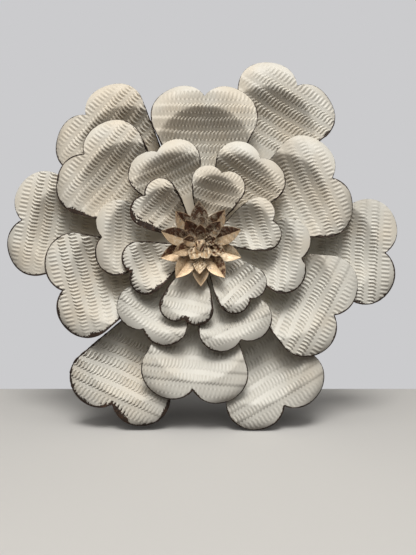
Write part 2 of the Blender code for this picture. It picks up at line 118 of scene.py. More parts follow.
def put_down() -> None:
    """Deselect every object."""
    for item in bpy.context.selected_objects:
        item.select_set(False)


def take_up(piece: Piece) -> None:
    """Make a piece the only selected and the active object."""
    put_down()
    piece.select_set(True)
    bpy.context.view_layer.objects.active = piece


def new_shape(name: str, primitive: Callable, **sizes: object) -> Piece:
    """Add one of Blender's mesh primitives under a name, and make it the only selected object."""
    put_down()
    primitive(**sizes)
    shape = bpy.context.active_object
    shape.name = name
    return shape


def apply_modifier(piece: Piece, kind: str, **settings: object) -> None:
    """Give a piece a modifier and apply it.

    Args:
        piece: Object that is finished.
        kind: Blender's type of modifier.
        settings: Values of the modifier's own properties.
    """
    take_up(piece)
    modifier = piece.modifiers.new(kind.lower(), kind)
    for key, value in settings.items():
        setattr(modifier, key, value)
    bpy.ops.object.modifier_apply(modifier=modifier.name)


def read_points(mesh: Mesh) -> Array:
    """Points of a mesh, one row each."""
    points = np.empty(len(mesh.vertices) * 3)
    mesh.vertices.foreach_get("co", points)
    return points.reshape(-1, 3)


def write_points(mesh: Mesh, points: Array) -> None:
    """Move the points of a mesh to new places, one row each."""
    mesh.vertices.foreach_set("co", points.ravel())
    mesh.update()


def write_attributes(mesh: Mesh, **values: object) -> None:
    """Keep numbers for a mesh's finish to read, each an array for its points or one number for all."""
    for name, numbers in values.items():
        attribute = mesh.attributes.new(name, "FLOAT", "POINT")
        attribute.data.foreach_set("value", np.full(len(mesh.vertices), numbers, np.float32))


def copy_piece(piece: Piece, name: str) -> Piece:
    """Copy a piece under a new name, with a mesh of its own."""
    twin = piece.copy()
    twin.data = piece.data.copy()
    twin.name = name
    twin.data.name = name
    bpy.context.collection.objects.link(twin)
    return twin


def place(piece: Piece, matrix: Matrix) -> None:
    """Move a piece's mesh, so that its object stays at the origin."""
    piece.data.transform(matrix)
    piece.data.update()


def soften(piece: Piece, angle: float) -> None:
    """Shade a piece smooth, with edges above the angle kept sharp."""
    take_up(piece)
    bpy.ops.object.shade_smooth_by_angle(angle=angle)


def hand_in(piece: Piece, node: str, slot: Slot, *finishes: Finish) -> None:
    """Dress a finished piece and let it stand for its node.

    Args:
        piece: Finished object, at its place.
        node: Name of the node that it stands for.
        slot: Material slot of the record; not used.
        finishes: Materials, in the order of the mesh's material slots.
    """
    piece.data.materials.clear()
    for finish in finishes:
        piece.data.materials.append(finish)
    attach(piece, "root")
    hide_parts(node)
    LOGGER.info("%s: %d faces", piece.name, len(piece.data.polygons))


def random_waves(rng: np.random.Generator, count: int, lengths: tuple, x: Array, along: Array) -> list:
    """Waves that cross a sheet in random directions.

    Args:
        rng: Source of the random numbers.
        count: Number of waves.
        lengths: Shortest and longest wave in metres.
        x: Places across the sheet.
        along: Places along it.

    Returns:
        For each wave, its swing from -1 to 1 at each place.
    """
    waves = []
    for _ in range(count):
        angle, phase = rng.uniform(0.0, 2.0 * math.pi, 2)
        length = rng.uniform(*lengths)
        run = x * math.cos(angle) + along * math.sin(angle)
        waves.append(np.cos(2.0 * math.pi * run / length + phase))
    return waves


class NodeLayout:
    """Short way to lay out the nodes of one tree."""

    def __init__(self, tree: bpy.types.NodeTree) -> None:
        """Take up the tree."""
        self.tree = tree

    def add(self, kind: str, **settings: object) -> bpy.types.Node:
        """Add a node and set its own properties."""
        node = self.tree.nodes.new(kind)
        for key, value in settings.items():
            setattr(node, key, value)
        return node

    def feed(self, socket: Socket, value: object) -> None:
        """Link a socket to a value's source, or set it to the value."""
        if isinstance(value, Socket):
            self.tree.links.new(value, socket)
        else:
            socket.default_value = value

    def combine(self, kind: str, first: object, second: object) -> Socket:
        """Result of one arithmetic step on two numbers."""
        node = self.add("ShaderNodeMath", operation=kind)
        self.feed(node.inputs[0], first)
        self.feed(node.inputs[1], second)
        return node.outputs[0]

    def plus(self, first: object, second: object) -> Socket:
        """Sum of two numbers."""
        return self.combine("ADD", first, second)

    def minus(self, first: object, second: object) -> Socket:
        """Difference of two numbers."""
        return self.combine("SUBTRACT", first, second)

    def times(self, first: object, second: object) -> Socket:
        """Product of two numbers."""
        return self.combine("MULTIPLY", first, second)

    def blend(self, share: object, first: object, second: object) -> Socket:
        """Mix two colours by the share of the second one."""
        node = self.add("ShaderNodeMix", data_type="RGBA")
        self.feed(node.inputs["Factor"], share)
        self.feed(node.inputs["A"], first)
        self.feed(node.inputs["B"], second)
        return next(socket for socket in node.outputs if socket.type == "RGBA")

    def seen(self) -> Socket:
        """1 for the camera's rays and for those that metal and glass show, 0 for light that spreads."""
        path = self.add("ShaderNodeLightPath").outputs
        seen = self.plus(path["Is Camera Ray"], path["Is Glossy Ray"])
        return self.plus(seen, path["Is Transmission Ray"])


class NodeSheet(NodeLayout):
    """Nodes of one new material, round its own principled shader."""

    def __init__(self, name: str) -> None:
        """Start the material."""
        self.material = bpy.data.materials.new(name)
        self.material.use_nodes = True
        super().__init__(self.material.node_tree)
        self.inputs = self.tree.nodes["Principled BSDF"].inputs
        self.place = self.add("ShaderNodeTexCoord").outputs["Object"]

    def noise(self, scale: float, detail: float, stretch: tuple = (1.0, 1.0, 1.0)) -> Socket:
        """Noise on the row's coordinates.

        Args:
            scale: Fineness, in features a metre.
            detail: Number of finer layers.
            stretch: Scale of the pattern along each axis.

        Returns:
            The noise, from 0 to 1.
        """
        mapping = self.add("ShaderNodeMapping")
        mapping.inputs["Scale"].default_value = stretch
        self.feed(mapping.inputs["Vector"], self.place)
        noise = self.add("ShaderNodeTexNoise")
        self.feed(noise.inputs["Vector"], mapping.outputs["Vector"])
        noise.inputs["Scale"].default_value = scale
        noise.inputs["Detail"].default_value = detail
        return noise.outputs["Fac"]

    def swing(self, noise: Socket, size: float) -> Socket:
        """Turn noise into a swing to both sides of 0, of the size from end to end."""
        return self.times(self.minus(noise, 0.5), size)

    def attribute(self, name: str) -> Socket:
        """Number that the mesh keeps for each of its points."""
        return self.add("ShaderNodeAttribute", attribute_name=name).outputs["Fac"]

    def span(self, value: object, low: float, high: float, start: float = 0.0, end: float = 1.0) -> Socket:
        """Map a number smoothly, so that low gives start and high gives end."""
        node = self.add("ShaderNodeMapRange", interpolation_type="SMOOTHSTEP")
        for socket, number in zip(node.inputs, (value, low, high, start, end)):
            self.feed(socket, number)
        return node.outputs[0]

    def finish(self, colour: Socket, roughness: Socket, normal: Socket) -> Finish:
        """Give the shader its colour, roughness and normal, and return the material."""
        self.feed(self.inputs["Base Color"], colour)
        self.feed(self.inputs["Roughness"], roughness)
        self.feed(self.inputs["Normal"], normal)
        return self.material

    def bump(self, height: object, distance: float, below: object = None) -> Socket:
        """Raise the surface, or a normal below, by a pattern from 0 to 1 that is so high in metres."""
        node = self.add("ShaderNodeBump")
        node.inputs["Distance"].default_value = distance
        self.feed(node.inputs["Height"], height)
        if below is not None:
            self.feed(node.inputs["Normal"], below)
        return node.outputs["Normal"]


def shade(red: int, green: int, blue: int) -> tuple:
    """Linear colour from the three numbers that a screen shows, each from 0 to 255."""
    parts = [value / 255.0 for value in (red, green, blue)]
    linear = [((part + 0.055) / 1.055) ** 2.4 if part > 0.04045 else part / 12.92 for part in parts]
    return (*linear, 1.0)


@dataclass(frozen=True)
class ChippedPaint:
    """Old off-white paint over dark brown metal, worn through along rims and on the ribs. Its grooves are
    darkened, partly by dust and partly as painted shade, and a dark line runs along its rims, partly bare
    cut edge and partly painted shadow.

    A noise is its fineness and its layers. A span is two values and the two results that they give,
    which are 0 and 1 where only the values stand. Reaches, swings, edges and heights are in metres.
    """

    name: str = "chipped_white_paint"
    paint: tuple = shade(213, 210, 201)
    cream: tuple = shade(213, 203, 186)
    groove_dust_and_shade: tuple = shade(132, 118, 96)
    metal: tuple = shade(44, 33, 26)
    rust: tuple = shade(68, 48, 35)
    cloud_noise: tuple = (14.0, 3.0)
    patch_noise: tuple = (34.0, 4.0)
    fine_noise: tuple = (260.0, 4.0)
    fleck_noise: tuple = (520.0, 2.0)
    grain_noise: tuple = (900.0, 3.0)
    warm_share: float = 0.26
    groove_dust_and_shade_span: tuple = (0.35, 0.70, 0.0, 0.34)
    edge_wear: float = 0.0
    sound_paint: float = 0.0027
    fleck_reach: float = 0.0011
    comb_reach: float = 0.0016
    fleck_swing: float = 0.0100
    patch_wear: float = 0.4
    patch_span: tuple = (0.40, 0.68, 0.0, 0.0017)
    chip_edge: float = 0.0002
    rib_grain: float = 1.1
    # Widths of the dark rim line, partly bare cut edge and partly painted shadow.
    outline: float = 0.0019
    edge_shadow_swing: float = 0.0022
    outline_wear_span: tuple = (0.5, 1.15)
    edge_shadow_patch_span: tuple = (0.36, 0.52, 0.45, 1.0)
    heavy_wear_span: tuple = (1.2, 2.2)
    line_edge: float = 0.0001
    paint_rough_span: tuple = (0.3, 0.7, 0.44, 0.58)
    metal_roughness: float = 0.75
    grain_height: float = 0.00008
    chip_height: float = 0.00020
    specular: float = 0.35

    def chips(self, sheet: NodeSheet, patchy: Socket, hollow: Socket, fine: Socket) -> Socket:
        """Lay out where the paint is gone, flecks and rubbed ribs, and a thin dark line at the rim, which
        is partly bare cut edge and partly painted shadow.

        Args:
            sheet: Material that gets the nodes.
            patchy: Noise of broad patches.
            hollow: 1 in the grooves between the ribs.
            fine: Fine noise.

        Returns:
            1 where the metal is bare, and on the rim line, where the metal colour also stands for painted
            shadow.
        """
        rim = sheet.attribute("rim")
        wear = sheet.attribute("wear")
        more = sheet.span(patchy, *self.patch_span)
        reach = sheet.times(sheet.plus(wear, self.patch_wear), more)
        worn = sheet.plus(sheet.times(hollow, self.comb_reach), self.fleck_reach)
        reach = sheet.plus(reach, sheet.times(wear, worn))
        reach = sheet.plus(reach, self.edge_wear - self.sound_paint)
        from_rim = sheet.plus(rim, sheet.swing(sheet.noise(*self.fleck_noise), self.fleck_swing))
        flecks = sheet.span(sheet.minus(from_rim, reach), self.chip_edge, -self.chip_edge)

        # Dark line along the rim, broader on lower rims and on heavy petals: partly bare cut edge, partly
        # painted contact shadow under the rim.
        outline = sheet.span(wear, *self.outline_wear_span, 0.0, self.outline)
        outline = sheet.times(outline, sheet.span(patchy, *self.edge_shadow_patch_span))
        heavier_edge_shadow = sheet.span(wear, *self.heavy_wear_span, 0.0, self.outline / 2)
        outline = sheet.plus(outline, heavier_edge_shadow)
        from_rim = sheet.plus(rim, sheet.swing(fine, self.edge_shadow_swing))
        line = sheet.span(sheet.minus(from_rim, outline), self.line_edge, -self.line_edge)

        ribs = sheet.plus(sheet.attribute("relief"), sheet.times(fine, self.rib_grain))
        rubbed = sheet.span(ribs, 1.58, 1.66)
        rubbed = sheet.times(rubbed, sheet.span(patchy, 0.56, 0.62))
        return sheet.combine("MAXIMUM", sheet.combine("MAXIMUM", flecks, line), rubbed)

    def make(self) -> Finish:
        """Lay out the paint's nodes.

        Returns:
            The material.
        """
        sheet = NodeSheet(self.name)
        cloud = sheet.noise(*self.cloud_noise)
        fine = sheet.noise(*self.fine_noise)
        patchy = sheet.noise(*self.patch_noise)
        hollow = sheet.span(sheet.attribute("relief"), 0.10, -0.90)
        bare_and_rim_shadow = self.chips(sheet, patchy, hollow, fine)

        warmth = sheet.times(sheet.attribute("warmth"), self.warm_share)
        cream_share = sheet.span(sheet.plus(cloud, warmth), 0.46, 0.92)
        # Grooves darkened towards the groove colour: partly dust, partly painted shade.
        groove_dust_and_shade_share = sheet.times(hollow, sheet.span(patchy, *self.groove_dust_and_shade_span))
        painted = sheet.blend(groove_dust_and_shade_share, sheet.blend(cream_share, self.paint, self.cream), self.groove_dust_and_shade)
        metal = sheet.blend(sheet.span(fine, 0.45, 0.70), self.metal, self.rust)

        rough = sheet.add("ShaderNodeMix", data_type="FLOAT")
        sheet.feed(rough.inputs["Factor"], bare_and_rim_shadow)
        sheet.feed(rough.inputs["A"], sheet.span(cloud, *self.paint_rough_span))
        rough.inputs["B"].default_value = self.metal_roughness
        grain = sheet.bump(sheet.noise(*self.grain_noise), self.grain_height)
        chip = sheet.bump(sheet.minus(1.0, bare_and_rim_shadow), self.chip_height, grain)
        sheet.inputs["Specular IOR Level"].default_value = self.specular
        return sheet.finish(sheet.blend(bare_and_rim_shadow, painted, metal), rough.outputs["Result"], chip)


@dataclass(frozen=True)
class AgedGold:
    """Gold-coloured leaf metal, silvery and mottled at its base, with mottled brown tarnish; the brown on
    sides that face down is painted shade.
    """

    name: str = "aged_gold_leaf"
    gold: tuple = shade(180, 153, 120)
    pale: tuple = shade(200, 179, 150)
    silver: tuple = shade(212, 198, 174)
    patina: tuple = shade(98, 58, 33)
    soot: tuple = shade(48, 26, 12)
    mottle_noise: tuple = (170.0, 6.0)
    speckle_noise: tuple = (620.0, 3.0)
    mottle_swing: float = 1.5
    rim_span: tuple = (0.0008, 0.0003)
    rim_tarnish_span: tuple = (0.0, 1.0, 1.0, 0.35)
    silver_speckle_span: tuple = (0.36, 0.60, 0.2, 0.85)
    metallic_span: tuple = (0.0, 1.0, 0.34, 0.15)
    rough_span: tuple = (0.0, 1.0, 0.48, 0.55)
    speckle_height: float = 0.00010
    mottle_height: float = 0.00035

    def make(self) -> Finish:
        """Lay out the patina's nodes.

        Returns:
            The material.
        """
        sheet = NodeSheet(self.name)
        mottle = sheet.noise(*self.mottle_noise)
        speckle = sheet.noise(*self.speckle_noise)
        uneven = sheet.swing(mottle, self.mottle_swing)
        worn = sheet.span(sheet.attribute("rim"), *self.rim_span)
        tarnish_and_shade_share = sheet.span(sheet.plus(sheet.attribute("tone"), uneven), 0.34, 0.66)
        tarnish_and_shade_share = sheet.times(tarnish_and_shade_share, sheet.span(worn, *self.rim_tarnish_span))
        gold = sheet.blend(sheet.span(speckle, 0.42, 0.72), self.gold, self.pale)
        brown = sheet.blend(sheet.span(speckle, 0.35, 0.65), self.soot, self.patina)
        leaf = sheet.blend(tarnish_and_shade_share, gold, brown)
        silvered = sheet.span(sheet.plus(sheet.attribute("base"), uneven), 0.58, 0.95)
        silvered = sheet.times(silvered, sheet.span(speckle, *self.silver_speckle_span))
        colour = sheet.blend(silvered, leaf, self.silver)
        sheet.feed(sheet.inputs["Metallic"], sheet.span(tarnish_and_shade_share, *self.metallic_span))
        grain = sheet.bump(mottle, self.mottle_height, sheet.bump(speckle, self.speckle_height))
        return sheet.finish(colour, sheet.span(tarnish_and_shade_share, *self.rough_span), grain)


@dataclass(frozen=True)
class PrimedSteel:
    """Brown primer on the plates that nobody sees, with rubbed and rusty places."""

    name: str = "brown_primed_steel"
    primer: tuple = shade(74, 56, 46)
    worn: tuple = shade(52, 40, 34)
    rust: tuple = shade(112, 70, 46)
    cloud_noise: tuple = (40.0, 4.0)
    speck_noise: tuple = (330.0, 3.0)
    rough_span: tuple = (0.3, 0.7, 0.52, 0.72)
    speck_height: float = 0.00015

    def make(self) -> Finish:
        """Lay out the primer's nodes.

        Returns:
            The material.
        """
        sheet = NodeSheet(self.name)
        cloud = sheet.noise(*self.cloud_noise)
        speck = sheet.noise(*self.speck_noise)
        base = sheet.blend(sheet.span(cloud, 0.35, 0.70), self.primer, self.worn)
        colour = sheet.blend(sheet.span(speck, 0.60, 0.72), base, self.rust)
        roughness = sheet.span(cloud, *self.rough_span)
        return sheet.finish(colour, roughness, sheet.bump(speck, self.speck_height))


@dataclass(frozen=True)
class ZincPlate:
    """Zinc-plated steel of the fastening and the hanger, a little dulled and scratched."""

    name: str = "dull_zinc_steel"
    zinc: tuple = shade(186, 188, 190)
    dull: tuple = shade(146, 146, 146)
    cloud_noise: tuple = (160.0, 4.0)
    scratch_noise: tuple = (120.0, 3.0, (1.0, 1.0, 14.0))
    rough_span: tuple = (0.3, 0.7, 0.28, 0.50)
    scratch_height: float = 0.00005
    metallic: float = 0.95

    def make(self) -> Finish:
        """Lay out the zinc's nodes.

        Returns:
            The material.
        """
        sheet = NodeSheet(self.name)
        cloud = sheet.noise(*self.cloud_noise)
        scratch = sheet.noise(*self.scratch_noise)
        colour = sheet.blend(sheet.span(cloud, 0.4, 0.7), self.zinc, self.dull)
        roughness = sheet.span(scratch, *self.rough_span)
        sheet.inputs["Metallic"].default_value = self.metallic
        return sheet.finish(colour, roughness, sheet.bump(scratch, self.scratch_height))


@dataclass(frozen=True)
class HeartBlank:
    """Flat heart-shaped blank of a petal, cut from fine sheet, with its middle on X = 0."""

    lobe_radius: float
    lobe_offset: float
    length: float
    cell_width: float
    shoulders: tuple = ()

    @property
    def root(self) -> float:
        """Place of the root's end below the line through the lobes' centres."""
        return self.lobe_radius - self.length

    @property
    def corners(self) -> list:
        """Corners (x, along) up the right side, from the root to the last one below the lobe."""
        return [(ROOT_HALF_WIDTH, self.root), *self.shoulders]

    @property
    def taper(self) -> float:
        """Lean of the blade's sides where they touch the lobes."""
        x, along = self.corners[-1]
        aside = self.lobe_offset - x
        return math.atan2(aside, -along) + math.asin(self.lobe_radius / math.hypot(aside, along))

    def side(self) -> list:
        """Points up the right side of the blank.

        Returns:
            Points (x, along), from the root's corner to the notch.
        """
        turn = math.pi - math.acos(self.lobe_offset / self.lobe_radius) + self.taper
        points = self.corners
        for step in range(OUTLINE_SEGMENTS + 1):
            angle = turn * step / OUTLINE_SEGMENTS - self.taper
            x = self.lobe_offset + self.lobe_radius * math.cos(angle)
            points.append((max(0.0, x), self.lobe_radius * math.sin(angle)))
        return points

    def cut(self, name: str, lines: list) -> Piece:
        """Cut the blank: half of it is trimmed along its outline, then mirrored.

        Args:
            name: Name of the new object.
            lines: Places of the mesh's lines across the blank, down from the lobes' tips.

        Returns:
            The flat blank, in the plane of X and Y, its tips towards +Y.
        """
        half_width = self.lobe_offset + self.lobe_radius
        columns = math.ceil(half_width / self.cell_width)
        blank = new_shape(name, bpy.ops.mesh.primitive_grid_add, size=2.0,
                          x_subdivisions=columns, y_subdivisions=len(lines) - 1)
        points = read_points(blank.data)
        line = np.rint((1.0 - points[:, 1]) / 2.0 * (len(lines) - 1)).astype(int)
        points[:, 0] = (points[:, 0] + 1.0) / 2.0 * half_width
        points[:, 1] = self.lobe_radius - np.array(lines)[line]
        write_points(blank.data, points)
        bpy.ops.object.mode_set(mode="EDIT")
        side = self.side()
        for (x0, y0), (x1, y1) in zip(side, side[1:]):
            bpy.ops.mesh.select_all(action="SELECT")
            outward = Vector((y1 - y0, x0 - x1, 0.0)).normalized()
            bpy.ops.mesh.bisect(plane_co=(x0, y0, 0.0), plane_no=outward, clear_outer=True,
                                threshold=BISECT_GAP)
        bpy.ops.mesh.select_all(action="SELECT")
        bpy.ops.mesh.remove_doubles(threshold=MERGE_GAP)
        bpy.ops.object.mode_set(mode="OBJECT")
        apply_modifier(blank, "MIRROR", use_axis=(True, False, False), merge_threshold=MIRROR_GAP)
        return blank

    def rim_distance(self, x: Array, along: Array) -> Array:
        """Distance of points from the rim.

        Args:
            x: Places across the blank.
            along: Places along the blank.

        Returns:
            Distance of each point from the nearest place of the rim.
        """
        points = np.stack((np.abs(x), along), axis=1)
        nearest = np.full(len(points), 1.0)
        side = np.array(self.side())
        for start, end in zip(side, side[1:]):
            edge = end - start
            share = np.clip(((points - start) @ edge) / (edge @ edge), 0.0, 1.0)
            gap = np.hypot(*(points - start - share[:, None] * edge).T)
            nearest = np.minimum(nearest, gap)
        return nearest


@dataclass(frozen=True)
class PetalPress:
    """Shape that a petal's blank is pressed to: lean, deep cup, round ridge, rolled lip, broad bands."""

    lean: float
    cup_depth: float
    wall_angle: float
    ridge_round: float
    ridge_radius: float
    lip_drop: float
    lip_curl: float
    lip_width: float
    band_pitch: float
    band_depth: float
    band_start: float
    banded_length: float
    step_start: float = -0.33
    step_end: float = -0.11

    def bands(self, from_start: Array) -> Array:
        """Height of the bands: each has a short step towards the tips and falls slowly towards the root.

        Args:
            from_start: Distances down from the middle of the first band.

        Returns:
            Height at each place.
        """
        steep = self.step_end - self.step_start
        share = (from_start / self.band_pitch - self.step_start) % 1.0
        saw = np.where(share < steep, share / steep, (1.0 - share) / (1.0 - steep))
        saw = np.where(from_start < self.step_end * self.band_pitch, 1.0, saw)
        banded_left = self.banded_length - self.band_start - from_start
        return self.band_depth * saw * np.clip(banded_left / self.band_pitch, 0.0, 1.0)

    def height(self, blank: HeartBlank, x: Array, along: Array) -> Array:
        """Height of the pressed sheet above its welded root.

        Args:
            blank: Blank of the petal.
            x: Places across it.
            along: Places along it.

        Returns:
            Height at each place.
        """
        cup_centre = blank.lobe_radius - self.lip_width - self.ridge_radius
        past_ridge = np.hypot(x, np.maximum(0.0, along - cup_centre)) - self.ridge_radius
        beyond = np.maximum(0.0, past_ridge)
        within = np.maximum(0.0, -past_ridge)
        run = np.maximum(0.0, along - blank.root - WELD_LENGTH - beyond)
        rise = math.tan(self.lean) * (np.hypot(run, WELD_LENGTH) - WELD_LENGTH)
        wall_run = np.hypot(within, self.ridge_round) - self.ridge_round
        wall = math.tan(self.wall_angle) * wall_run / self.cup_depth
        grown = np.minimum(1.0, run / (cup_centre - blank.root - WELD_LENGTH))
        cup = self.cup_depth * (1.0 - np.tanh(wall)) * grown ** 2
        lip = self.lip_drop * (beyond / self.lip_width) ** self.lip_curl
        return rise + cup - lip + self.bands(blank.lobe_radius - self.band_start - along)


@dataclass(frozen=True)
class RibRows:
    """Rows of short ribs, one row on each band; their ends slant down the band's step."""

    pitches: tuple
    slants: tuple
    depth: float
    half_row: float
    row_end: float
    line_gap: float
    weak_side: float
    end_slant: float = 34.0
    first_row: float = 0.60
    row_shift: float = 0.37
    weak_width: float = 0.65

    def lines(self, press: PetalPress, length: float) -> list:
        """Places where a blank's mesh needs lines across it, with one on each end of a rib row.

        Args:
            press: Shape of the petal, which gives the bands.
            length: Length of the blank.

        Returns:
            Distances down from the lobes' tips, from 0 to the length.
        """
        marks = [0.0]
        for row in range(len(self.pitches)):
            centre = press.band_start + row * press.band_pitch
            step_end = press.step_end * press.band_pitch
            outer = self.half_row + self.row_end
            for reach in (-outer, -self.half_row, step_end, self.half_row, outer):
                marks.append(centre + reach)
        marks = [*(mark for mark in marks if mark < press.banded_length), press.banded_length, length]
        lines = []
        for start, end in zip(marks, marks[1:]):
            gap = self.line_gap if start < press.banded_length else 2.0 * self.line_gap
            steps = math.ceil((end - start) / gap)
            lines += [start + (end - start) * step / steps for step in range(steps)]
        return [*lines, length]

    def relief(self, press: PetalPress, x: Array, from_tips: Array, shift: float, lean: float) -> Array:
        """Relief of the ribs.

        Args:
            press: Shape of the petal, which gives the bands.
            x: Places across the petal.
            from_tips: Distances down from the lobes' tips.
            shift: Sideways shift of the whole pattern.
            lean: Slant of all the ribs in degrees, added to each row's own.

        Returns:
            Relief at each place, from -1 in the grooves to 1 on the ribs.
        """
        row = np.round((from_tips - press.band_start) / press.band_pitch).astype(int)
        row = np.clip(row, 0, len(self.pitches) - 1)
        off_row = from_tips - press.band_start - row * press.band_pitch
        pitch = np.array(self.pitches)[row]
        slant = np.tan(np.radians(np.array(self.slants) + lean))[row]
        on_step = np.where(row > 0, np.minimum(0.0, off_row - press.step_end * press.band_pitch), 0.0)
        end_slant = math.tan(math.radians(self.end_slant))
        aslant = x + shift + slant * off_row + end_slant * on_step
        turn = 2.0 * math.pi * (aslant / pitch + row * self.row_shift)
        outside = (np.abs(off_row) - self.half_row) / self.row_end
        fade = np.clip((press.banded_length - from_tips) / press.band_pitch + 0.5, 0.0, 1.0)
        fade = fade * np.where(row > 0, 1.0, self.first_row)
        aside = np.clip((x / np.abs(x).max() + 1.0) / self.weak_width, 0.0, 1.0)
        even = self.weak_side + (1.0 - self.weak_side) * aside * aside * (3.0 - 2.0 * aside)
        return np.cos(turn) * (1.0 - np.clip(outside, 0.0, 1.0)) * fade * even


@dataclass(frozen=True)
class PetalSetting:
    """How one petal of a row is set, and how its stamping, lip and paint differ from its neighbours'.

    Angle, twist and slant are in degrees, the angle from +X towards +Z. Extra is added to the row's
    radius. The lip is a share of the drop that the row's petals have.
    """

    angle: float
    twist: float
    extra: float
    rib_shift: float = 0.0
    slant: float = 0.0
    strength: float = 1.0
    wear: Wear = Wear.USUAL
    lip: float = 1.0


@dataclass
class PetalRow:
    """One row of six pressed petals."""

    name: str
    blank: HeartBlank
    press: PetalPress
    ribs: RibRows
    root_radius: float
    seat_height: float
    settings: tuple
    dent_depth: float = 0.0010
    dent_waves: int = 5
    dent_lengths: tuple = (0.030, 0.085)
    mean_wear: float = 1.10
    lower_wear: float = 0.65
    row_seed: int = 100

    def dents(self, rng: np.random.Generator, x: Array, along: Array) -> Array:
        """Shallow uneven places that handling leaves in thin sheet.

        Args:
            rng: Source of the petal's random numbers.
            x: Places across the petal.
            along: Places along it.

        Returns:
            Change of height at each place.
        """
        total = sum(random_waves(rng, self.dent_waves, self.dent_lengths, x, along))
        grown = np.clip((along - self.blank.root - WELD_LENGTH) / self.blank.length, 0.0, 1.0)
        return self.dent_depth * total / self.dent_waves * grown

    def press_petal(self, petal: Piece, setting: PetalSetting, seed: int) -> None:
        """Press one flat blank to its shape, with its ribs, and note what the paint depends on.

        Args:
            petal: Copy of the flat blank.
            setting: How this petal differs.
            seed: Seed of its random numbers.
        """
        rng = np.random.default_rng(seed)
        flat = read_points(petal.data)
        x, along = flat[:, 0], flat[:, 1]
        rim = self.blank.rim_distance(x, along)
        from_tips = self.blank.lobe_radius - along
        relief = self.ribs.relief(self.press, x, from_tips, setting.rib_shift, setting.slant)
        press = replace(self.press, lip_drop=self.press.lip_drop * setting.lip)
        height = press.height(self.blank, x, along)
        height += setting.strength * self.ribs.depth * relief
        height += self.dents(rng, x, along)
        write_points(petal.data, np.stack((x, -height, along), axis=1))
        turn = math.radians(setting.angle + setting.twist)
        from_middle = np.maximum(np.hypot(x, along), LEAST_DISTANCE)
        upward = (along * math.sin(turn) - x * math.cos(turn)) / from_middle
        # Rims on a petal's lower side get more wear and a broader dark line, partly painted shade on rims
        # turned away from the light.
        wear = setting.wear.value * (self.mean_wear - self.lower_wear * upward)
        warmth = 0.5 + 0.5 * math.cos(math.radians(setting.angle - WARM_SIDE))
        write_attributes(petal.data, rim=rim, relief=relief * setting.strength, wear=wear, warmth=warmth)

    def build(self, axis_height: float, paint: Finish, edge: Finish) -> None:
        """Press, thicken and place the row's petals.

        Args:
            axis_height: Place of the flower's axis along Z.
            paint: Finish of the faces.
            edge: Finish of the cut edge.
        """
        lines = self.ribs.lines(self.press, self.blank.length)
        blank = self.blank.cut(f"{self.name}_blank", lines)
        for number, setting in enumerate(self.settings, start=1):
            petal = copy_piece(blank, f"{self.name}_petal_look_{number}")
            self.press_petal(petal, setting, seed=self.row_seed * len(self.name) + number)
            petal.data.flip_normals()
            apply_modifier(petal, "SOLIDIFY", thickness=SHEET, offset=1.0, use_even_offset=True,
                           material_offset_rim=1)
            turn = math.radians(setting.angle)
            radius = self.root_radius + setting.extra - self.blank.root
            upright = axis_height + radius * math.sin(turn)
            centre = Vector((radius * math.cos(turn), -self.seat_height, upright))
            spin = Matrix.Rotation(math.radians(90.0 - setting.angle - setting.twist), 4, "Y")
            place(petal, Matrix.Translation(centre) @ spin)
            soften(petal, RIM_ANGLE)
            hand_in(petal, f"{self.name}_petal_{number}", Slot.PAINT, paint, edge)
        bpy.data.objects.remove(blank)


@dataclass(frozen=True)
class Leaf:
    """One folded leaf of the lotus: where its tip is, how it is folded, and how crumpled it is."""

    angle: float
    reach: float
    half_width: float
    rise: float
    fold: float
    crumple: float = 0.0003
    silver: float = 0.3
    lighter: float = 0.0


